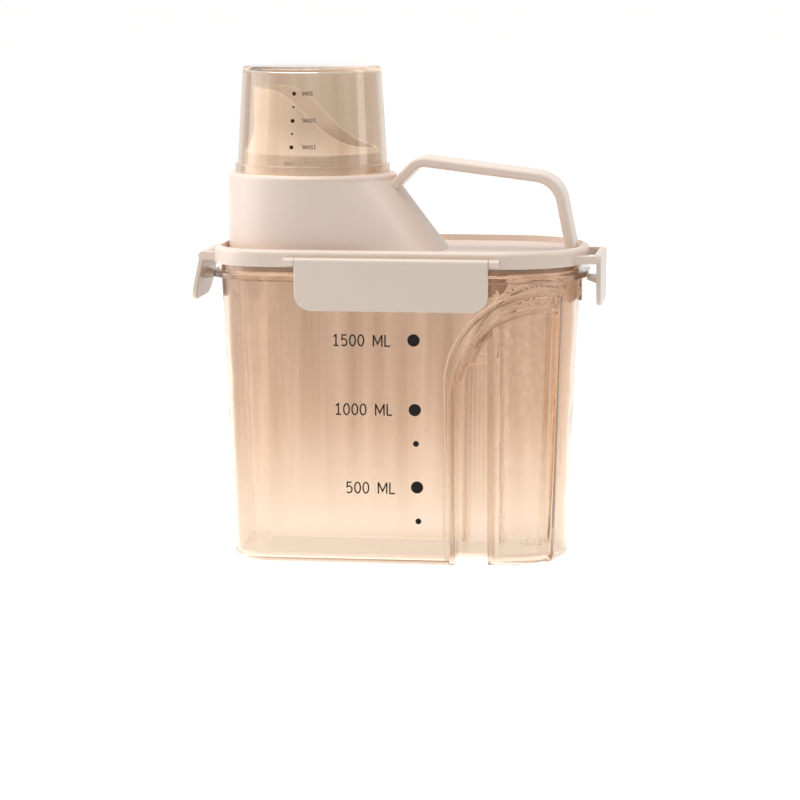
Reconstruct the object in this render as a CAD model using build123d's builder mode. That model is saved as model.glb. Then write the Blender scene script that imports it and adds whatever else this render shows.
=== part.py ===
"""Food storage container: clear box, lid with hopper neck, handle, spout, cup and four latches.

Sizes are in millimetres. Z is up, X runs towards the handle end, and the front faces -Y.
The origin is the centre of the base.
"""
import os
from math import cos, radians, sin, tan

from build123d import *

# Box
base_half_length = 85.0
base_half_depth = 43.5
left_radius = 22.0
right_radius = 36.0
draft = 2.2
wall = 2.4
floor_thickness = 3.0
base_fillet = 5.0
flange_z = 144.5
flange_thickness = 3.0
flange_end = 4.4
flange_side = 2.6
rim_height = 7.0

# Hand grip in both long sides of the box
grip_centre_x = 73.3
grip_radius = 45.3
grip_centre_z = 92.0
grip_slope = 2.8
grip_drop = 6.0
grip_first_depth = 2.0
grip_depth = 6.0
grip_wrap = 57.0
groove_left = 30.5
groove_width = 16.5
groove_depth = 21.0
groove_top_margin = 3.0
flute_count = 7
flute_pitch = 2.1
flute_width = 1.1
flute_height = 0.6
flute_bottom = 23.0
flute_length = 78.0

# Tongue under the flange at each end
tongue_width = 14.0
tongue_height = 13.0
tongue_proud = 1.0
tongue_radius = 4.0

# Lid
rim_clearance = 0.3
deck_thickness = 2.2
dish_depth = 3.0
dish_inset = 3.2
skirt_drop = 3.3
skirt_gap = 0.45
lid_end = 3.45
lid_side = 2.55
lid_fillet = 2.6
plug_depth = 6.3
plug_gap = 0.5
plug_wall = 2.0

# Gasket in the plug
gasket_height = 2.6
gasket_lift = 1.6
gasket_groove = 1.0
gasket_seat = 0.05
gasket_clearance = 0.15

# Hopper neck
neck_x = -47.4
neck_radius = 42.8
neck_height = 38.8
neck_wall = 2.4
neck_cap = 3.0
neck_fillet = 2.0
neck_bore = 33.4
slope_run = 26.6
neck_flat = 0.4
nose_half = 13.0
foot_nose = 0.6
shoulder_nose = 2.0
deck_lip = 2.4

# Handle
handle_width = 28.0
handle_thickness = 4.8
handle_rounding = 1.6
handle_root = (-6.0, 187.4)
handle_rise = (8.2, 202.2)
handle_corner = (78.9, 193.4)
handle_foot = (87.2, 153.0)
handle_bend = 9.0
handle_corner_bend = 15.0

# Spout
insert_depth = 7.5
insert_fit = 0.1
collar_radius = 34.8
collar_height = 10.2
spout_radius = 29.8
spout_flare = 16.0
spout_height = 42.8
spout_wall = 1.8
lip_start = -20.6
lip_end = 35.4
lip_low = 12.7
lip_steep = 0.375
coupling_rib = 0.5
coupling_from = -9.8
coupling_to = 0.8
coupling_low = 4.6
coupling_height = 4.8
stripe_to = 16.2
stripe_height = 0.6
stripe_pitch = 1.8
window_x = -6.2
window_z = 5.6
window_width = 5.6
window_height = 2.4

# Cup, upside down over the spout
cup_seat = 0.3
cup_flange_radius = 39.65
cup_flange_height = 4.4
cup_open_radius = 38.3
cup_top_radius = 35.4
cup_wall = 1.9
cup_base = 2.2
cup_fillet = 2.4
cup_height = 53.9

# Latches
side_latch_width = 97.0
end_latch_width = 45.0
side_pivot_gap = 2.6
end_pivot_gap = 6.0
pivot_height = 9.9
barrel_radius = 2.2
plate_thickness = 2.4
plate_drop = 24.2
plate_corner = 9.0
plate_edge = 0.8
hook_gap = 0.5
hook_height = 3.2
hook_bite = 0.8
side_hook_width = 60.0
end_hook_width = 20.0
left_swing = 12.0
pin_radius = 1.0
pin_length = 3.5
pin_clearance = 0.05
knuckle_radius = 2.0
knuckle_length = 5.0
knuckle_root = 12.0
side_play = 0.3

# Heights and sizes that follow from the ones above
rim_top = flange_z + flange_thickness + rim_height
deck_bottom = rim_top + rim_clearance
deck_top = deck_bottom + deck_thickness
skirt_bottom = deck_bottom - skirt_drop
neck_top = deck_top + neck_height
shoulder_z = neck_top - neck_cap
plug_outer = -wall - plug_gap
plug_bottom = deck_bottom - plug_depth
gasket_z = plug_bottom + gasket_lift
spread_at_rim = flange_z * tan(radians(draft))
rim_half_length = base_half_length + spread_at_rim
rim_half_depth = base_half_depth + spread_at_rim
pivot_z = flange_z + pivot_height
end_pivot_x = rim_half_length + lid_end + end_pivot_gap
side_pivot_y = rim_half_depth + lid_side + side_pivot_gap
neck_axis = Axis((neck_x, 0, 0), (0, 0, 1))
neck_plane = Plane(origin=(neck_x, 0, neck_top), x_dir=(1, 0, 0), z_dir=(0, -1, 0))


def plan(size_z, grow_x=0.0, grow_y=0.0):
    """Rounded plan of the box at one height, grown at the ends by grow_x and at the sides by grow_y."""
    spread = size_z * tan(radians(draft))
    corner = spread + min(grow_x, grow_y)
    length = 2 * (base_half_length + spread + grow_x)
    depth = 2 * (base_half_depth + spread + grow_y)
    with BuildSketch(Plane.XY, mode=Mode.PRIVATE) as shape:
        Rectangle(length, depth)
        fillet(shape.vertices().group_by(Axis.X)[0], left_radius + corner)
        fillet(shape.vertices().group_by(Axis.X)[-1], right_radius + corner)
    return shape.sketch


def slab(bottom, top, grow_x, grow_y, mode=Mode.ADD):
    """Straight block with the rim's plan between two heights, added to the open part."""
    with BuildSketch(Plane.XY.offset(bottom)) as outline:
        add(plan(flange_z, grow_x, grow_y))
    extrude(outline.sketch, amount=top - bottom, mode=mode)


def wall_plane(depth):
    """Plane parallel to the drafted front wall, a depth behind its outer face."""
    lean = radians(draft)
    return Plane(
        origin=(0, depth - base_half_depth, 0), x_dir=(1, 0, 0), z_dir=(0, -cos(lean), -sin(lean))
    )


def arch(radius, centre_z):
    """Upright outline under a round arch, from below the base to the arch's crown."""
    foot = 10.0
    with Locations((grip_centre_x, centre_z)):
        Circle(radius)
    with Locations((grip_centre_x, centre_z)):
        Rectangle(2 * radius, centre_z + foot, align=(Align.CENTER, Align.MAX))


def wall_layer(depth):
    """Outer layer of the box's drafted walls, to a depth below their face."""
    beyond = 6.0
    with BuildPart(mode=Mode.PRIVATE) as layer:
        slab(-beyond, flange_z + beyond, beyond, beyond)
        with BuildSketch(Plane.XY.offset(-2 * beyond)):
            add(plan(-2 * beyond, -depth, -depth))
        with BuildSketch(Plane.XY.offset(flange_z + 2 * beyond)):
            add(plan(flange_z + 2 * beyond, -depth, -depth))
        loft(mode=Mode.SUBTRACT)
    return layer.part


def grip_side(grow):
    """Plan of the front half that the grip may reach, up to a radial line in the right corner."""
    turn = radians(grip_wrap)
    start_x = base_half_length - right_radius + grow * cos(turn)
    start_y = right_radius - base_half_depth + grow * sin(turn)
    far = 100.0
    with BuildSketch(Plane.XY, mode=Mode.PRIVATE) as reach:
        with BuildLine():
            Polyline(
                (start_x, start_y), (start_x + far * sin(turn), start_y - far * cos(turn)),
                (start_x + far * sin(turn), -far), (-far, -far), (-far, start_y), close=True,
            )
        make_face()
    return reach.sketch


def grip_cutter(grow):
    """Hand grip on the front and back: two arched steps round the corner and a deep groove."""
    inner_radius = grip_radius - grip_slope + grow
    inner_z = grip_centre_z - grip_drop
    steps = (
        (grip_radius + grow, grip_centre_z, grip_first_depth + grow),
        (inner_radius, inner_z, grip_depth + grow),
    )
    with BuildPart(mode=Mode.PRIVATE) as cutter:
        for radius, centre_z, depth in steps:
            with BuildPart(mode=Mode.PRIVATE) as step:
                with BuildSketch(Plane.XZ) as opening:
                    arch(radius, centre_z)
                extrude(opening.sketch, amount=2 * base_half_depth)
                add(wall_layer(depth), mode=Mode.INTERSECT)
                bottom = Plane.XY.offset(-3.0)
                extrude(bottom * grip_side(grow), amount=flange_z, mode=Mode.INTERSECT)
            add(step.part)
        with BuildSketch(wall_plane(groove_depth + grow)):
            arch(inner_radius, inner_z - groove_top_margin)
            with Locations((groove_left + groove_width / 2, inner_z)):
                Rectangle(groove_width + 2 * grow, 4 * grip_radius, mode=Mode.INTERSECT)
        extrude(amount=groove_depth + grow + 1.0)
        mirror(about=Plane.XZ)
    return cutter.part


def neck_outline(radius, run, nose_depth):
    """Outline of the neck: a half circle on the left and a shallow nose with a crease each side."""
    start = neck_x + run
    tip = start + radius
    crease = tip - nose_depth
    with BuildSketch(Plane.XY, mode=Mode.PRIVATE) as shape:
        with BuildLine():
            ThreePointArc((neck_x, radius), (neck_x - radius, 0), (neck_x, -radius))
            Line((neck_x, -radius), (start, -radius))
            TangentArc((start, -radius), (crease, -nose_half), tangent=(1, 0))
            ThreePointArc((crease, -nose_half), (tip, 0), (crease, nose_half))
            TangentArc((start, radius), (crease, nose_half), tangent=(1, 0))
            Line((start, radius), (neck_x, radius))
        make_face()
    return shape.sketch


def hopper(radius):
    """Neck from the deck to its shoulder: upright on its left, and sloped on its right."""
    with BuildPart(mode=Mode.PRIVATE) as body:
        with BuildSketch(Plane.XY.offset(deck_top)):
            add(neck_outline(radius, slope_run, foot_nose))
        with BuildSketch(Plane.XY.offset(shoulder_z)):
            add(neck_outline(radius, neck_flat, shoulder_nose))
        loft(ruled=True)
    return body.part


def neck_cap_block():
    """Straight top of the neck, with its rounded shoulder."""
    with BuildPart(mode=Mode.PRIVATE) as block:
        with BuildSketch(Plane.XY.offset(shoulder_z)):
            add(neck_outline(neck_radius, neck_flat, shoulder_nose))
        extrude(amount=neck_cap)
        fillet(block.edges().group_by(Axis.Z)[-1], neck_fillet)
    return block.part


with BuildPart() as container:
    with BuildSketch(Plane.XY):
        add(plan(0))
    with BuildSketch(Plane.XY.offset(flange_z)):
        add(plan(flange_z))
    loft()
    fillet(container.edges().group_by(Axis.Z)[0], base_fillet)
    slab(flange_z, rim_top, 0, 0)
    slab(flange_z, flange_z + flange_thickness, flange_end, flange_side)
    for side in (-1, 1):
        with BuildSketch(Plane.YZ.offset(side * (rim_half_length - wall / 2))) as tongue:
            with Locations((0, flange_z)):
                Rectangle(tongue_width, tongue_height, align=(Align.CENTER, Align.MAX))
            fillet(tongue.vertices().group_by(Axis.Z)[0], tongue_radius)
        extrude(amount=side * (wall / 2 + tongue_proud))
    add(grip_cutter(0), mode=Mode.SUBTRACT)
    with BuildPart(mode=Mode.PRIVATE) as cavity:
        with BuildSketch(Plane.XY.offset(floor_thickness)):
            add(plan(floor_thickness, -wall, -wall))
        with BuildSketch(Plane.XY.offset(flange_z)):
            add(plan(flange_z, -wall, -wall))
        loft()
        fillet(cavity.edges().group_by(Axis.Z)[0], base_fillet - wall)
        slab(flange_z, rim_top + 1.0, -wall, -wall)
        add(grip_cutter(wall), mode=Mode.SUBTRACT)
    add(cavity.part, mode=Mode.SUBTRACT)
    with BuildPart(mode=Mode.PRIVATE) as flutes:
        with BuildSketch(wall_plane(groove_depth)):
            with Locations((groove_left + groove_width / 2, flute_bottom + flute_length / 2)):
                with GridLocations(flute_pitch, 0, flute_count, 1):
                    SlotOverall(flute_length, flute_width, rotation=90)
        extrude(amount=flute_height)
        mirror(about=Plane.XZ)
    add(flutes.part)
container.part.label = "container"


def latch_plane(pivot, outward, swing):
    """Plane through a latch's pivot, with X pointing out of the latch and Y up along it."""
    lean = radians(swing)
    out = (outward[0] * cos(lean), outward[1] * cos(lean), sin(lean))
    return Plane(origin=pivot, x_dir=out, z_dir=(outward[1], -outward[0], 0))


def knuckles(width, plane):
    """Two blocks on the skirt that hold a latch's stub pins, one past each end of the latch."""
    inner = width / 2 + side_play
    for side in (-1, 1):
        with BuildSketch(plane.offset(side * inner)) as block:
            Circle(knuckle_radius)
            Rectangle(knuckle_root, 2 * knuckle_radius, align=(Align.MAX, Align.CENTER))
        extrude(block.sketch, amount=side * knuckle_length)


def pin_bores(width, plane):
    """One bore through both knuckles' inner faces, a little deeper than the pins."""
    with BuildSketch(plane) as bore:
        Circle(pin_radius + pin_clearance)
    reach = width / 2 + pin_length + side_play
    extrude(bore.sketch, amount=reach, both=True, mode=Mode.SUBTRACT)


latch_seats = {
    "latch_front": (side_latch_width, side_hook_width, (0, -side_pivot_y, pivot_z), (0, -1, 0), 0.0),
    "latch_back": (side_latch_width, side_hook_width, (0, side_pivot_y, pivot_z), (0, 1, 0), 0.0),
    "latch_right": (end_latch_width, end_hook_width, (end_pivot_x, 0, pivot_z), (1, 0, 0), 0.0),
    "latch_left": (end_latch_width, end_hook_width, (-end_pivot_x, 0, pivot_z), (-1, 0, 0), left_swing),
}

with BuildPart() as lid:
    slab(skirt_bottom, deck_top + dish_depth, lid_end, lid_side)
    fillet(lid.edges().group_by(Axis.Z)[-1], lid_fillet)
    for width, hook_width, pivot, outward, swing in latch_seats.values():
        knuckles(width, latch_plane(pivot, outward, 0))
    slab(deck_top, deck_top + dish_depth, lid_end - dish_inset, lid_side - dish_inset, Mode.SUBTRACT)
    slab(skirt_bottom - 3.0, deck_bottom, skirt_gap, skirt_gap, Mode.SUBTRACT)
    for width, hook_width, pivot, outward, swing in latch_seats.values():
        pin_bores(width, latch_plane(pivot, outward, 0))
    slab(plug_bottom, deck_bottom, plug_outer, plug_outer)
    slab(plug_bottom, deck_bottom, plug_outer - plug_wall, plug_outer - plug_wall, Mode.SUBTRACT)
    with BuildSketch(Plane.XY.offset(gasket_z)):
        add(plan(flange_z, plug_outer + 1.0, plug_outer + 1.0))
        inset = plug_outer - gasket_groove
        add(plan(flange_z, inset, inset), mode=Mode.SUBTRACT)
    extrude(amount=gasket_height, mode=Mode.SUBTRACT)
    add(hopper(neck_radius))
    add(neck_cap_block())
    inside = neck_radius - neck_wall
    add(hopper(inside), mode=Mode.SUBTRACT)
    with BuildSketch(Plane.XY.offset(deck_bottom)):
        add(neck_outline(inside - deck_lip, slope_run, foot_nose))
    extrude(amount=deck_thickness, mode=Mode.SUBTRACT)
    with BuildSketch(Plane.XY.offset(shoulder_z)):
        with Locations((neck_x, 0)):
            Circle(neck_bore)
    extrude(amount=neck_cap, mode=Mode.SUBTRACT)
lid.part.label = "lid"

with BuildPart() as lid_gasket:
    with BuildSketch(Plane.XY.offset(gasket_z + gasket_seat)):
        add(plan(flange_z, -wall - gasket_clearance, -wall - gasket_clearance))
        bottom_of_groove = plug_outer - gasket_groove + gasket_seat
        add(plan(flange_z, bottom_of_groove, bottom_of_groove), mode=Mode.SUBTRACT)
    extrude(amount=gasket_height - 2 * gasket_seat)
lid_gasket.part.label = "lid_gasket"

with BuildPart() as carry_handle:
    with BuildLine(Plane.XZ) as strap:
        FilletPolyline(
            handle_root, handle_rise, handle_corner, handle_foot,
            radius=(handle_bend, handle_corner_bend),
        )
    with BuildSketch(Plane(origin=strap.line @ 0, x_dir=(0, 1, 0), z_dir=strap.line % 0)):
        RectangleRounded(handle_width, handle_thickness, handle_rounding)
    sweep(path=strap.line)
    split(bisect_by=Plane.XY.offset(deck_top), keep=Keep.TOP)
    add(hopper(neck_radius), mode=Mode.SUBTRACT)
    add(neck_cap_block(), mode=Mode.SUBTRACT)
carry_handle.part.label = "carry_handle"


def spout_shell(shrink, low):
    """Half outline of the spout around the neck's axis, made thinner by shrink."""
    start = low - insert_depth
    insert = neck_bore - insert_fit - shrink
    collar = collar_radius - shrink
    tube = spout_radius - shrink
    flare_top = collar_height + spout_flare
    with BuildSketch(neck_plane, mode=Mode.PRIVATE) as half:
        with BuildLine():
            Polyline((0, spout_height), (0, start), (insert, start), (insert, shrink))
            Polyline((insert, shrink), (collar, shrink), (collar, collar_height))
            middle = (tube + 0.28 * (collar - tube), collar_height + 0.4 * spout_flare)
            ThreePointArc((collar, collar_height), middle, (tube, flare_top))
            Polyline((tube, flare_top), (tube, spout_height), (0, spout_height))
        make_face()
    return half.sketch


with BuildPart() as spout:
    revolve(spout_shell(0, 0), axis=neck_axis)
    revolve(spout_shell(spout_wall, -1.0), axis=neck_axis, mode=Mode.SUBTRACT)
    with BuildSketch(neck_plane):
        with BuildLine():
            bend = lip_start + lip_steep * (lip_end - lip_start)
            turn = lip_end - 1.5 * lip_steep * (lip_end - lip_start)
            Bezier(
                (lip_start, spout_height), (bend, spout_height), (turn, lip_low), (lip_end, lip_low)
            )
            Polyline(
                (lip_end, lip_low), (lip_end + 9, lip_low),
                (lip_end + 9, spout_height + 5), (lip_start, spout_height + 5), (lip_start, spout_height),
            )
        make_face()
    extrude(amount=collar_radius + 5, both=True, mode=Mode.SUBTRACT)
    bars = [(coupling_from, coupling_to, coupling_low, coupling_height)]
    for row in range(3):
        low = coupling_low + stripe_pitch * (row + 1) - 1.0
        bars.append((coupling_to, stripe_to, low, stripe_height))
    for left, right, low, height in bars:
        with BuildSketch(Plane.XY.offset(neck_top + low)):
            with Locations((neck_x, 0)):
                Circle(collar_radius + coupling_rib)
                Circle(collar_radius - spout_wall / 2, mode=Mode.SUBTRACT)
            with Locations((neck_x + (left + right) / 2, -collar_radius)):
                Rectangle(right - left, 20.0, mode=Mode.INTERSECT)
        extrude(amount=height)
    with BuildSketch(neck_plane.offset(collar_radius - 1.0)):
        with Locations((window_x, window_z)):
            Rectangle(window_width, window_height)
    extrude(amount=3.0, mode=Mode.SUBTRACT)
spout.part.label = "spout"

with BuildPart() as measuring_cup:
    with BuildSketch(neck_plane):
        with BuildLine():
            top = cup_seat + cup_height
            ceiling = top - cup_base
            Polyline(
                (0, top), (0, ceiling), (cup_top_radius - cup_wall, ceiling),
                (cup_open_radius - cup_wall, cup_seat), (cup_flange_radius, cup_seat),
                (cup_flange_radius, cup_seat + cup_flange_height),
                (cup_open_radius, cup_seat + cup_flange_height),
                (cup_top_radius, top), close=True,
            )
        make_face()
    revolve(axis=neck_axis)
    fillet(measuring_cup.edges().group_by(Axis.Z)[-1], cup_fillet)
    fillet(measuring_cup.edges().filter_by(GeomType.CIRCLE).sort_by(SortBy.RADIUS)[-2:], 0.6)
measuring_cup.part.label = "measuring_cup"


def latch(width, hook_width, pivot, outward, swing):
    """Clip that turns on stub pins: a plate, a round barrel at its top and a hook behind it."""
    profile = latch_plane(pivot, outward, swing)
    face = Plane(origin=pivot, x_dir=(-outward[1], outward[0], 0), z_dir=profile.x_dir)
    edge = rim_half_depth + flange_side if outward[0] == 0 else rim_half_length + flange_end
    distance = abs(pivot[0]) + abs(pivot[1])
    reach = distance - edge + hook_bite
    hook_top = flange_z - hook_gap - pivot_z
    with BuildPart() as clip:
        with BuildSketch(face.offset(barrel_radius - plate_thickness)) as plate:
            Rectangle(width, plate_drop, align=(Align.CENTER, Align.MAX))
            fillet(plate.vertices().group_by(Axis.Y)[0], plate_corner)
        extrude(amount=plate_thickness)
        front = clip.faces().sort_by(Axis((0, 0, 0), outward))[-1]
        fillet(front.edges().sort_by(Axis.Z)[:-1], plate_edge)
        with BuildSketch(profile):
            Circle(barrel_radius)
        extrude(amount=width / 2, both=True)
        with BuildSketch(profile):
            Circle(pin_radius)
        extrude(amount=width / 2 + pin_length, both=True)
        with BuildSketch(profile):
            with BuildLine():
                Polyline(
                    (0, hook_top), (-reach, hook_top), (-reach, hook_top - 1.0),
                    (0, hook_top - hook_height), close=True,
                )
            make_face()
        extrude(amount=hook_width / 2, both=True)
    return clip.part


parts = [container, lid, lid_gasket, carry_handle, spout, measuring_cup]
os.makedirs("parts", exist_ok=True)
for piece in parts:
    export_step(piece.part, f"parts/{piece.part.label}.step")
for name, seat in latch_seats.items():
    clip = latch(*seat)
    clip.label = name
    export_step(clip, f"parts/{name}.step")
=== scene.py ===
"""Clear storage container with a beige lid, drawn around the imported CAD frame.

The moulded parts keep their CAD shapes, merged and smooth shaded, and the cup is turned from its
outline. The printed scales are new pieces, worked out on the surfaces that carry them. Lengths
are in metres.
"""
import math

import bmesh
import bpy
import numpy as np
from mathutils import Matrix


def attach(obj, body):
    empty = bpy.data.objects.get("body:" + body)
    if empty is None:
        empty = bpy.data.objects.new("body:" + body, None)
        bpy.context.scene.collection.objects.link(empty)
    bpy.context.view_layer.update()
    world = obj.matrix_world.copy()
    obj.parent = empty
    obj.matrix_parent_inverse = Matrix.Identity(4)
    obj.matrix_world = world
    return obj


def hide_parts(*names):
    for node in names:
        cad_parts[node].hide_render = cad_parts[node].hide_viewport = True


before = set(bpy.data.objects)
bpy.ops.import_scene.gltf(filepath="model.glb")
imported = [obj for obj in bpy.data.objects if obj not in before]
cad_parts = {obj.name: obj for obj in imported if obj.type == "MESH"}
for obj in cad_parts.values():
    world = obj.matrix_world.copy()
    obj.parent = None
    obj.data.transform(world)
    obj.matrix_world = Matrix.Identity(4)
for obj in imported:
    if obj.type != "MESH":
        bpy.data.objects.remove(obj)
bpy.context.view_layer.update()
scene = bpy.context.scene
scene.view_settings.view_transform = "Standard"
mm = 0.001


# Studio: a white floor that runs to the horizon, and soft lamps above and to both sides. The
# camera stands slightly to the right and a little above the lid, as far off as the
# photograph's flat perspective asks.
eye = (203.6 * mm, -1629.4 * mm, 310.9 * mm)
eye_azimuth = math.radians(7.2)
eye_pitch = math.radians(8.06)
field_of_view = math.radians(14.17)

camera_data = bpy.data.cameras.new("camera")
camera_data.sensor_width = 36.0
camera_data.lens = camera_data.sensor_width / 2 / math.tan(field_of_view / 2)
camera_data.clip_end = 200.0
camera = bpy.data.objects.new("camera", camera_data)
camera.location = eye
camera.rotation_euler = (math.pi / 2 - eye_pitch, 0.0, eye_azimuth)
scene.collection.objects.link(camera)
scene.camera = camera


class Tree:
    """A material's or world's node tree, whose nodes are added by type, settings and sockets."""

    def __init__(self, owner):
        owner.use_nodes = True
        self.tree = owner.node_tree
        self.tree.nodes.clear()

    def node(self, kind, settings=None, **sockets):
        """Adds one node. Sockets are named with _ for a space, and take a value or a Value."""
        made = self.tree.nodes.new("ShaderNode" + kind)
        for name, setting in (settings or {}).items():
            setattr(made, name, setting)
        for name, given in sockets.items():
            self.feed(made, name.replace("_", " "), given)
        return made

    def feed(self, made, name, given):
        """Sets or links the named input, or the input at that place where name is a number."""
        socket = made.inputs[int(name) if name.isdigit() else name]
        if isinstance(given, Value):
            self.tree.links.new(given.socket, socket)
        else:
            socket.default_value = given

    def value(self, made, output=0):
        """One output of a node, by number or name, ready for arithmetic."""
        return Value(self, made.outputs[output])

    def math(self, operation, first, second):
        """Value of a Math node on two numbers or Values."""
        made = self.node("Math", {"operation": operation})
        self.feed(made, "0", first)
        self.feed(made, "1", second)
        return self.value(made)

    def mix_shaders(self, factor, low, high):
        """Shader that goes from low to high as factor goes from 0 to 1."""
        made = self.node("MixShader")
        self.feed(made, "0", factor)
        self.feed(made, "1", self.value(low))
        self.feed(made, "2", self.value(high))
        return made

    def out(self, shader, kind="OutputMaterial"):
        """Output node, whose surface is the given shader node."""
        made = self.node(kind)
        self.feed(made, "Surface", self.value(shader))
        return made


class Value:
    """A node's output, with the arithmetic that adds Math nodes."""

    def __init__(self, tree, socket):
        self.tree = tree
        self.socket = socket

    def __mul__(self, other):
        return self.tree.math("MULTIPLY", self, other)

    def __add__(self, other):
        return self.tree.math("ADD", self, other)

    __rmul__ = __mul__
    __radd__ = __add__


def mix_colour(tree, factor, low, high):
    """Colour that goes from low to high as factor goes from 0 to 1. The Mix node's colour sockets
    are its inputs 0, 6 and 7, and its output 2."""
    made = tree.node("Mix", {"data_type": "RGBA"})
    tree.feed(made, "0", factor)
    tree.feed(made, "6", low)
    tree.feed(made, "7", high)
    return tree.value(made, 2)


def noise(tree, scales, detail=2.0):
    """Noise on Object coordinates, with so many grains to the metre along each axis."""
    place = tree.value(tree.node("TexCoord"), "Object")
    scaled = tree.node("Mapping", Scale=scales)
    tree.feed(scaled, "Vector", place)
    grain = tree.node("TexNoise", Scale=1.0, Detail=detail)
    tree.feed(grain, "Vector", tree.value(scaled))
    return tree.value(grain)


def seen(tree):
    """1 for a ray that shows the surface, straight, mirrored or through the plastic, and else 0."""
    ray = tree.node("LightPath")
    straight = tree.value(ray, "Is Camera Ray") + tree.value(ray, "Is Glossy Ray")
    return straight + tree.value(ray, "Is Transmission Ray")


white = (1.0, 1.0, 1.0, 1.0)
warm_white = (1.0, 0.98, 0.955, 1.0)
fill_strength = 0.44

world = bpy.data.worlds.new("studio_air")
scene.world = world
air = Tree(world)
backdrop = air.node("Background", Color=white, Strength=1.0)
fill_light = air.node("Background", Color=warm_white, Strength=fill_strength)
air.out(air.mix_shaders(seen(air), fill_light, backdrop), "OutputWorld")


def flat_sheet(name, corners):
    """One four-sided face through the given corners."""
    mesh = bpy.data.meshes.new(name)
    mesh.from_pydata(corners, [], [(0, 1, 2, 3)])
    made = bpy.data.objects.new(name, mesh)
    scene.collection.objects.link(made)
    return made


floor_reach = 40.0
floor_glow = 0.62

floor = flat_sheet("floor", (
    (-floor_reach, -floor_reach, 0.0), (floor_reach, -floor_reach, 0.0),
    (floor_reach, floor_reach, 0.0), (-floor_reach, floor_reach, 0.0),
))
floor_paint = bpy.data.materials.new("floor_paint")
paint = Tree(floor_paint)
matt = paint.node("BsdfDiffuse", Color=(0.90, 0.90, 0.90, 1.0))
glow = paint.node("Emission", Color=white, Strength=floor_glow)
lifted = paint.node("AddShader")
paint.feed(lifted, "0", paint.value(matt))
paint.feed(lifted, "1", paint.value(glow))
paint.out(paint.mix_shaders(seen(paint), matt, lifted))
floor.data.materials.append(floor_paint)


lamp_target = (0.0, 0.0, 0.15)


def softbox(name, place, width, height, power):
    """Rectangular area lamp at a place, turned to the object."""
    lamp_data = bpy.data.lights.new(name, "AREA")
    lamp_data.shape = "RECTANGLE"
    lamp_data.size = width
    lamp_data.size_y = height
    lamp_data.energy = power
    lamp = bpy.data.objects.new(name, lamp_data)
    lamp.location = place
    aim = np.array(lamp_target) - np.array(place)
    level = math.hypot(aim[0], aim[1])
    lamp.rotation_euler = (math.atan2(level, -aim[2]), 0.0, math.atan2(-aim[0], aim[1]))
    scene.collection.objects.link(lamp)


softbox("lamp_top", (-0.35, -0.1, 1.4), width=1.2, height=0.9, power=12.5)
softbox("lamp_left", (-1.1, -0.05, 0.5), width=0.9, height=1.0, power=5.6)
softbox("lamp_right", (1.25, 0.1, 0.7), width=0.4, height=1.0, power=3.2)


# Box: injection moulded in clear plastic with a warm cast, and faint upright light and dark bands
# painted into its tint as reflections.
# Its walls lean out as they rise, and its edges are softened by the mould, so they catch the light.
tiny = 1e-12
merge_gap = 2e-6
rounded_from = math.radians(38.0)


def even_normals(mesh, sharp, wall_facing=None):
    """Corner normals: each is the mean of the faces at its vertex that lie within the sharp angle,
    weighted by area. Where wall_facing gives the surface's true direction, that is used instead."""
    count = len(mesh.loops)
    vertex = np.empty(count, dtype=np.int64)
    mesh.loops.foreach_get("vertex_index", vertex)
    starts = np.empty(len(mesh.polygons), dtype=np.int64)
    mesh.polygons.foreach_get("loop_start", starts)
    face = np.zeros(count, dtype=np.int64)
    face[starts[1:]] = 1
    face = np.cumsum(face)
    facing = np.empty(len(mesh.polygons) * 3)
    mesh.polygons.foreach_get("normal", facing)
    facing = facing.reshape(-1, 3)
    area = np.empty(len(mesh.polygons))
    mesh.polygons.foreach_get("area", area)
    order = np.argsort(vertex, kind="stable")
    first = np.searchsorted(vertex[order], vertex)
    around = np.bincount(vertex)[vertex]
    total = np.zeros((count, 3))
    for step in range(int(around.max())):
        has = around > step
        other = face[order[np.where(has, first + step, first)]]
        near = (facing[other] * facing[face]).sum(axis=1) > math.cos(sharp)
        total += facing[other] * (area[other] * (has & near))[:, None]
    total += facing[face] * tiny
    total /= np.linalg.norm(total, axis=1)[:, None]
    if wall_facing is not None:
        place = np.empty(len(mesh.vertices) * 3)
        mesh.vertices.foreach_get("co", place)
        total = wall_facing(place.reshape(-1, 3)[vertex], facing[face], total)
    mesh.normals_split_custom_set(total.tolist())


def moulded(node, material, body, softened=0.0, wall_facing=None, keep=None, sharp=32.0):
    """Merged, smooth shaded copy of a CAD node with its edges rounded over by the softened width,
    except those whose middle keep holds for. Without keep, the rounding narrows where it has no
    room. Faces more than the sharp angle apart, in degrees, keep a crease between them."""
    shell = bmesh.new()
    shell.from_mesh(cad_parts[node].data)
    bmesh.ops.remove_doubles(shell, verts=shell.verts, dist=merge_gap)
    if softened:
        edges = [
            edge for edge in shell.edges
            if edge.is_manifold and edge.calc_face_angle() > rounded_from
            and not (keep and keep((edge.verts[0].co + edge.verts[1].co) / 2))
        ]
        bmesh.ops.bevel(
            shell, geom=edges, offset=softened, offset_type="OFFSET", segments=3,
            profile=0.5, affect="EDGES", clamp_overlap=keep is None,
        )
        bmesh.ops.triangulate(shell, faces=shell.faces)
    mesh = bpy.data.meshes.new(node + "_moulded")
    shell.to_mesh(mesh)
    shell.free()
    mesh.polygons.foreach_set("use_smooth", np.ones(len(mesh.polygons), dtype=bool))
    even_normals(mesh, math.radians(sharp), wall_facing)
    mesh.materials.clear()
    mesh.materials.append(material)
    made = bpy.data.objects.new(node + "_moulded", mesh)
    scene.collection.objects.link(made)
    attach(made, body)
    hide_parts(node)
    return made


pale_foot_from = 75.0 * mm
pale_foot_to = 10.0 * mm
veil_tint = (0.975, 0.96, 0.945, 1.0)
amber_tint = (0.64, 0.43, 0.23, 1.0)
amber_density = 32.0


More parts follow.
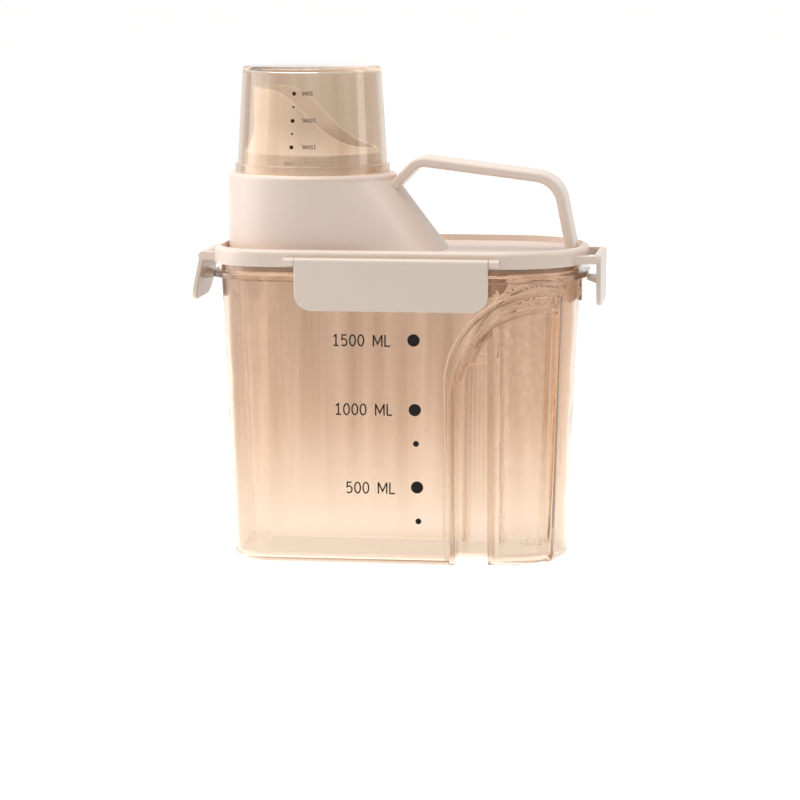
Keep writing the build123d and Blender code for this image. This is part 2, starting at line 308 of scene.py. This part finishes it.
def clear_plastic(name, light, dark, pale, ripple, bounces):
    """Clear plastic tinted in upright bands from light to dark, which are painted reflections, and
    paler towards its foot, with upright ripples. Long ways through it darken to amber. Shadow rays and
    rays that have bounced more often than bounces go straight on through a faint veil."""
    material = bpy.data.materials.new(name)
    tree = Tree(material)
    # The upright light and dark bands in the tint are painted reflections.
    painted_reflection_noise = noise(tree, (90.0, 90.0, 2.5), detail=3.0)
    painted_reflection_bands = tree.node("MapRange", From_Min=0.38, From_Max=0.62)
    tree.feed(painted_reflection_bands, "Value", painted_reflection_noise)
    tint = mix_colour(tree, tree.value(painted_reflection_bands), light, dark)
    place = tree.node("SeparateXYZ")
    tree.feed(place, "0", tree.value(tree.node("TexCoord"), "Object"))
    foot = tree.node("MapRange", From_Min=pale_foot_from, From_Max=pale_foot_to)
    tree.feed(foot, "Value", tree.value(place, "Z"))
    tint = mix_colour(tree, tree.value(foot), tint, pale)
    relief = tree.node("Bump", Strength=ripple, Distance=1.0 * mm)
    tree.feed(relief, "Height", noise(tree, (45.0, 45.0, 4.0), detail=1.0))
    plastic = tree.node("BsdfPrincipled", Roughness=0.03, IOR=1.46, Transmission_Weight=1.0)
    tree.feed(plastic, "Base Color", tint)
    tree.feed(plastic, "Normal", tree.value(relief))
    veil = tree.node("BsdfTransparent", Color=veil_tint)
    path = tree.node("LightPath")
    spent = tree.math("GREATER_THAN", tree.value(path, "Ray Depth"), bounces)
    passed = tree.math("MAXIMUM", tree.value(path, "Is Shadow Ray"), spent)
    amber = tree.node("VolumeAbsorption", Color=amber_tint, Density=amber_density)
    surface = tree.out(tree.mix_shaders(passed, plastic, veil))
    tree.feed(surface, "Volume", tree.value(amber))
    return material


corner_centres = ((-63.0 * mm, 21.5 * mm), (49.0 * mm, 7.5 * mm))
wall_tilt = 0.3
wall_near = math.radians(5.0)


def box_wall_facing(place, facing, normal):
    """True direction of the upright walls: straight out along a side, and out from the corner's
    centre round a corner. It is used where a face already points within wall_near of it."""
    x, y = place[:, 0], place[:, 1]
    left, right = corner_centres
    past_left = np.minimum(x - left[0], 0.0)
    past_right = np.maximum(x - right[0], 0.0)
    centre_y = np.where(x < 0, left[1], right[1])
    along_x = past_left + past_right
    along_y = np.sign(y) * np.maximum(np.abs(y) - centre_y, 0.0)
    length = np.hypot(along_x, along_y) + tiny
    flat = np.sqrt(np.maximum(1.0 - facing[:, 2] ** 2, 0.0))
    out = np.column_stack((along_x / length * flat, along_y / length * flat, facing[:, 2]))
    out *= np.sign((out * facing).sum(axis=1))[:, None] + tiny
    upright = np.abs(facing[:, 2]) < wall_tilt
    upright &= (out * facing).sum(axis=1) > math.cos(wall_near)
    return np.where(upright[:, None], out, normal)


box_plastic = clear_plastic(
    "box_plastic",
    light=(0.78, 0.645, 0.54, 1.0),
    dark=(0.64, 0.495, 0.385, 1.0),
    pale=(0.83, 0.75, 0.67, 1.0),
    ripple=0.05,
    bounces=5.0,
)
flutes_left = 29.0 * mm
flutes_right = 49.0 * mm
flutes_depth = 26.0 * mm
box_rounding = 0.6 * mm


def on_flutes(middle):
    """True on the floor of the grip's groove, where the flutes are too fine for a wide rounding."""
    return abs(middle.y) < flutes_depth and flutes_left < middle.x < flutes_right


box = moulded(
    "container", box_plastic, "box",
    softened=box_rounding, wall_facing=box_wall_facing, keep=on_flutes,
)


# Measuring cup: moulded in the same clear plastic, thin walled, upside down over the spout. Its
# mouth has a flange, and its base and its inside corner are rounded.
neck_x = -47.4 * mm
cup_mouth_z = 196.1 * mm
cup_low_z = 200.5 * mm
cup_top_z = 250.0 * mm
cup_flange_radius = 39.65 * mm
cup_low_radius = 38.3 * mm
cup_top_radius = 35.4 * mm
cup_wall = 1.9 * mm
cup_ceiling_z = cup_top_z - 2.2 * mm
cup_top_round = 2.4 * mm
cup_inner_round = 2.0 * mm
cup_step_round = 0.5 * mm
cup_edge_round = 0.6 * mm


def rounded_outline(corners, steps=8):
    """Outline through (radius, z, rounding) corners, each rounded by an arc that is tangent to both
    sides: it starts rounding * tan(turn / 2) before the corner, and ends as far after it."""
    points = [np.array(corners[0][:2])]
    for before, corner, after in zip(corners, corners[1:], corners[2:]):
        here = np.array(corner[:2])
        back = np.array(before[:2]) - here
        ahead = np.array(after[:2]) - here
        back /= np.linalg.norm(back)
        ahead /= np.linalg.norm(ahead)
        opening = math.acos(np.clip(back @ ahead, -1.0, 1.0))
        cut = corner[2] / math.tan(opening / 2)
        middle = (back + ahead) / np.linalg.norm(back + ahead)
        centre = here + middle * corner[2] / math.sin(opening / 2)
        start, end = here + back * cut - centre, here + ahead * cut - centre
        sweep = math.pi - opening
        share = np.linspace(0.0, 1.0, steps)[:, None]
        arc = (np.sin((1 - share) * sweep) * start + np.sin(share * sweep) * end) / math.sin(sweep)
        points += list(centre + arc)
    points.append(np.array(corners[-1][:2]))
    return np.array(points)


def turned(name, outline, material, turns=180):
    """Outline carried round the neck's axis: point = (axis + r * cos, r * sin, z). Its ends lie on
    the axis, where each ring is merged into one pole."""
    turn = np.arange(turns) * 2 * np.pi / turns
    r, z = outline[:, 0][:, None], outline[:, 1][:, None]
    grid = np.stack((neck_x + r * np.cos(turn), r * np.sin(turn), z + 0 * turn), axis=-1)
    rows = len(outline)
    row, step = np.meshgrid(np.arange(rows - 1), np.arange(turns), indexing="ij")
    after = (step + 1) % turns
    quads = np.stack((row * turns + step, row * turns + after, (row + 1) * turns + after,
                      (row + 1) * turns + step), axis=-1).reshape(-1, 4)
    mesh = bpy.data.meshes.new(name)
    mesh.from_pydata(grid.reshape(-1, 3).tolist(), [], quads.tolist())
    shape = bmesh.new()
    shape.from_mesh(mesh)
    bmesh.ops.remove_doubles(shape, verts=shape.verts, dist=1e-7)
    if shape.calc_volume(signed=True) < 0:
        bmesh.ops.reverse_faces(shape, faces=shape.faces)
    shape.to_mesh(mesh)
    shape.free()
    mesh.polygons.foreach_set("use_smooth", np.ones(len(mesh.polygons), dtype=bool))
    mesh.materials.append(material)
    made = bpy.data.objects.new(name, mesh)
    scene.collection.objects.link(made)
    return made


cup_plastic = clear_plastic(
    "cup_plastic",
    light=(0.775, 0.68, 0.59, 1.0),
    dark=(0.68, 0.57, 0.47, 1.0),
    pale=(0.85, 0.77, 0.69, 1.0),
    ripple=0.06,
    bounces=4.0,
)
cup_outline = rounded_outline((
    (0.0, cup_top_z, 0.0),
    (cup_top_radius, cup_top_z, cup_top_round),
    (cup_low_radius, cup_low_z, cup_step_round),
    (cup_flange_radius, cup_low_z, cup_edge_round),
    (cup_flange_radius, cup_mouth_z, cup_edge_round),
    (cup_low_radius - cup_wall, cup_mouth_z, cup_edge_round),
    (cup_top_radius - cup_wall, cup_ceiling_z, cup_inner_round),
    (0.0, cup_ceiling_z, 0.0),
))
cup = turned("measuring_cup_moulded", cup_outline, cup_plastic)
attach(cup, "cup")
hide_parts("measuring_cup")


# Beige moulded parts: the lid, handle, spout and latches are satin polypropylene in one warm
# beige, with a fine moulded texture and a slightly uneven gloss.
gloss_swing = 0.12


def beige_plastic(name, colour, shade, roughness, grain):
    """Satin plastic: a soft cloudy tint, a fine pebbled relief and an uneven gloss."""
    material = bpy.data.materials.new(name)
    tree = Tree(material)
    cloud = noise(tree, (22.0, 22.0, 22.0))
    tint = mix_colour(tree, cloud, colour, shade)
    pebble = noise(tree, (1500.0, 1500.0, 1500.0))
    relief = tree.node("Bump", Strength=grain, Distance=0.2 * mm)
    tree.feed(relief, "Height", pebble)
    gloss = noise(tree, (60.0, 60.0, 60.0)) * gloss_swing + (roughness - gloss_swing / 2)
    plastic = tree.node(
        "BsdfPrincipled", IOR=1.49, Subsurface_Weight=0.06,
        Subsurface_Radius=(4.0 * mm, 2.5 * mm, 1.5 * mm), Subsurface_Scale=0.5,
    )
    tree.feed(plastic, "Base Color", tint)
    tree.feed(plastic, "Roughness", gloss)
    tree.feed(plastic, "Normal", tree.value(relief))
    tree.out(plastic)
    return material


lid_cream, lid_shade = (0.82, 0.69, 0.60, 1.0), (0.79, 0.655, 0.56, 1.0)
latch_cream, latch_shade = (0.80, 0.69, 0.60, 1.0), (0.77, 0.66, 0.57, 1.0)
spout_cream, spout_shade = (0.89, 0.85, 0.80, 1.0), (0.86, 0.815, 0.76, 1.0)
satin = 0.34
lid_plastic = beige_plastic("lid_plastic", lid_cream, lid_shade, satin, grain=0.10)
latch_plastic = beige_plastic("latch_plastic", latch_cream, latch_shade, satin, grain=0.10)
spout_plastic = beige_plastic("spout_plastic", spout_cream, spout_shade, satin, grain=0.08)
beige_rounding = 0.3 * mm

beige_parts = (
    ("lid", lid_plastic, "lid"),
    ("carry_handle", lid_plastic, "lid"),
    ("spout", spout_plastic, "lid"),
    ("latch_front", latch_plastic, "front_latch"),
    ("latch_back", latch_plastic, "back_latch"),
    ("latch_right", latch_plastic, "right_latch"),
    ("latch_left", latch_plastic, "left_latch"),
)
for node, material, body in beige_parts:
    part = moulded(node, material, body, softened=beige_rounding)


# Gasket: a pale silicone ring pressed into the groove of the lid's plug. Silicone is soft and
# dull, and a little light passes into it.
gasket_rubber = bpy.data.materials.new("gasket_rubber")
tree = Tree(gasket_rubber)
cloud = noise(tree, (90.0, 90.0, 90.0))
haze = mix_colour(tree, cloud, (0.80, 0.77, 0.72, 1.0), (0.74, 0.71, 0.66, 1.0))
rubber = tree.node("BsdfPrincipled", Roughness=0.55, Subsurface_Weight=0.2)
tree.feed(rubber, "Base Color", haze)
tree.out(rubber)
gasket = moulded("lid_gasket", gasket_rubber, "lid")


# Printed scale on the box: black dots and plain numbers, screen printed on the outside of the
# front wall, which leans out as it rises.
print_ink = bpy.data.materials.new("print_ink")
tree = Tree(print_ink)
wear = noise(tree, (900.0, 900.0, 900.0), detail=3.0)
ink = mix_colour(tree, wear, (0.004, 0.004, 0.004, 1.0), (0.016, 0.013, 0.011, 1.0))
film = tree.node("BsdfPrincipled", Roughness=0.5, Specular_IOR_Level=0.15)
tree.feed(film, "Base Color", ink)
tree.out(film)

ink_film = 0.06 * mm
base_half_depth = 43.5 * mm
wall_draft = math.tan(math.radians(2.2))


def on_front_wall(points):
    """Flat points (x, z, rise) put on the leaning front wall: y = -(half depth + z * draft + rise)."""
    x, z, rise = points.T
    y = -(base_half_depth + z * wall_draft + ink_film / 2 + rise)
    return np.column_stack((x, y, z))


def dot_grid(centre, radius, rings=4, turns=48):
    """Disc as rings of points about its centre: point = centre + radius * ring * (cos, sin)."""
    reach = np.linspace(0.0, 1.0, rings + 1)[1:]
    ring, turn = np.meshgrid(reach, np.arange(turns) * 2 * np.pi / turns, indexing="ij")
    flat = np.column_stack((
        centre[0] + radius * (ring * np.cos(turn)).ravel(),
        centre[1] + radius * (ring * np.sin(turn)).ravel(),
    ))
    points = np.vstack((np.array(centre)[None, :], flat))
    step = np.arange(turns)
    after = (step + 1) % turns
    fan = [(0, 1 + a, 1 + b) for a, b in zip(step, after)]
    bands = []
    for inner in range(rings - 1):
        low = 1 + inner * turns
        high = low + turns
        bands += [(low + a, high + a, high + b, low + b) for a, b in zip(step, after)]
    return points, fan + bands


def stroke_paths():
    """Centre lines of the numerals and letters on a unit high body, with each one's width. The
    round strokes are ellipses: point = centre + (half width * cos, half height * sin)."""
    turn = np.linspace(0.0, 2 * np.pi, 33)
    ring = np.column_stack((0.27 + 0.24 * np.cos(turn), 0.5 + 0.46 * np.sin(turn)))
    bow = np.radians(np.linspace(130.0, -140.0, 22))
    belly = np.column_stack((0.24 + 0.25 * np.cos(bow), 0.33 + 0.29 * np.sin(bow)))
    five = np.vstack(((0.47, 0.955), (0.10, 0.955), belly))
    return {
        "0": (0.54, [ring]),
        "1": (0.54, [np.array(((0.05, 0.80), (0.28, 0.955), (0.28, 0.045))),
                     np.array(((0.06, 0.045), (0.50, 0.045)))]),
        "5": (0.54, [five]),
        "M": (0.82, [np.array(((0.05, 0.0), (0.05, 1.0))), np.array(((0.77, 1.0), (0.77, 0.0))),
                     np.array(((0.06, 0.96), (0.41, 0.22), (0.76, 0.96)))]),
        "L": (0.50, [np.array(((0.05, 1.0), (0.05, 0.045), (0.48, 0.045)))]),
        " ": (0.42, []),
    }


mitre_limit = 0.35


def lettering(words, height, pen=0.12, gap=0.17):
    """Flat mesh of the words, centred: each stroke is a ribbon, whose sides stand off its centre
    line by half the pen along the mitre, pen / 2 / cos(half the turn). The pen and the gap between
    letters are shares of the height."""
    glyphs = stroke_paths()
    points, faces, offset, made = [], [], 0.0, 0
    for letter in words:
        width, strokes = glyphs[letter]
        for line in strokes:
            line = line + np.array((offset, 0.0))
            closed = np.allclose(line[0], line[-1])
            leg = np.diff(line, axis=0)
            leg /= np.linalg.norm(leg, axis=1)[:, None]
            side = np.column_stack((-leg[:, 1], leg[:, 0]))
            into = np.vstack((side[-1] if closed else side[0], side))
            out = np.vstack((side, side[0] if closed else side[-1]))
            mitre = into + out
            mitre /= np.maximum((mitre * into).sum(axis=1), mitre_limit)[:, None]
            rows = len(line)
            points.append(np.vstack((line + mitre * pen / 2, line - mitre * pen / 2)))
            faces += [(made + row, made + row + 1, made + rows + row + 1, made + rows + row)
                      for row in range(rows - 1)]
            made += 2 * rows
        offset += width + gap
    points = np.vstack(points)
    low, high = points.min(axis=0), points.max(axis=0)
    return (points - (low + high) / 2) * height, faces


def printed(name, flat, faces, wrap, body):
    """Thin closed film: the flat shape wrapped on a surface, given the ink's thickness outwards."""
    points = wrap(np.column_stack((flat, np.zeros(len(flat)))))
    mesh = bpy.data.meshes.new(name)
    mesh.from_pydata(points.tolist(), [], faces)
    shape = bmesh.new()
    shape.from_mesh(mesh)
    bmesh.ops.remove_doubles(shape, verts=shape.verts, dist=1e-7)
    bmesh.ops.triangulate(shape, faces=shape.faces)
    outward = wrap(np.array([[flat[:, 0].mean(), flat[:, 1].mean(), mm]]))[0]
    outward = outward - wrap(np.array([[flat[:, 0].mean(), flat[:, 1].mean(), 0.0]]))[0]
    facing = sum(face.normal.dot(outward) for face in shape.faces)
    if facing < 0:
        bmesh.ops.reverse_faces(shape, faces=shape.faces)
    shape.to_mesh(mesh)
    shape.free()
    mesh.materials.append(print_ink)
    made = bpy.data.objects.new(name, mesh)
    scene.collection.objects.link(made)
    film = made.modifiers.new("ink_film", "SOLIDIFY")
    film.thickness = ink_film
    film.offset = 0.0
    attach(made, body)
    return made


big_dot = 3.1 * mm
small_dot = 1.5 * mm
scale_dots = (
    ("1500", (10.6, 115.3), big_dot),
    ("1000", (11.1, 80.0), big_dot),
    ("750", (11.6, 62.8), small_dot),
    ("500", (12.1, 40.5), big_dot),
    ("250", (12.7, 23.1), small_dot),
)
for level, (x, z), radius in scale_dots:
    flat, faces = dot_grid((x * mm, z * mm), radius)
    printed("scale_dot_" + level, flat, faces, on_front_wall, "box")

number_height = 5.9 * mm
scale_words = (("1500 ML", (-15.6, 115.0)), ("1000 ML", (-14.7, 80.0)), ("500 ML", (-11.5, 39.8)))
for words, (x, z) in scale_words:
    flat, faces = lettering(words, number_height)
    flat = flat + np.array((x * mm, z * mm))
    name = "scale_number_" + words.split()[0]
    printed(name, flat, faces, on_front_wall, "box")


# Printed scale on the cup: three dots with small numbers and two finer dots between them. The
# cup stands upside down on the neck, so its numbers do too, and they follow its round wall.
def on_cup_wall(points):
    """Flat points (x, z, rise) wrapped on the cup: angle = (x - axis) / radius, radius falls with z."""
    x, z, rise = points.T
    share = (z - cup_low_z) / (cup_top_z - cup_low_z)
    radius = cup_low_radius + (cup_top_radius - cup_low_radius) * share
    turn = (x - neck_x) / radius
    out = radius + ink_film / 2 + rise
    return np.column_stack((neck_x + out * np.sin(turn), -out * np.cos(turn), z))


cup_big_dot = 1.0 * mm
cup_small_dot = 0.55 * mm
cup_dots = (
    ("50", (-51.0, 237.0), cup_big_dot),
    ("75", (-51.3, 230.3), cup_small_dot),
    ("100", (-51.7, 223.5), cup_big_dot),
    ("125", (-52.0, 217.0), cup_small_dot),
    ("150", (-52.3, 210.3), cup_big_dot),
)
for level, (x, z), radius in cup_dots:
    flat, faces = dot_grid((x * mm, z * mm), radius, rings=2, turns=28)
    printed("cup_dot_" + level, flat, faces, on_cup_wall, "cup")

cup_number_height = 2.0 * mm
cup_pen = 0.13
cup_words = (("50ML", (-44.6, 237.1)), ("100ML", (-43.6, 223.6)), ("150ML", (-43.6, 210.4)))
for words, (x, z) in cup_words:
    flat, faces = lettering(words, cup_number_height, pen=cup_pen)
    flat = np.array((x * mm, z * mm)) - flat
    printed("cup_number_" + words[:-2], flat, faces, on_cup_wall, "cup")
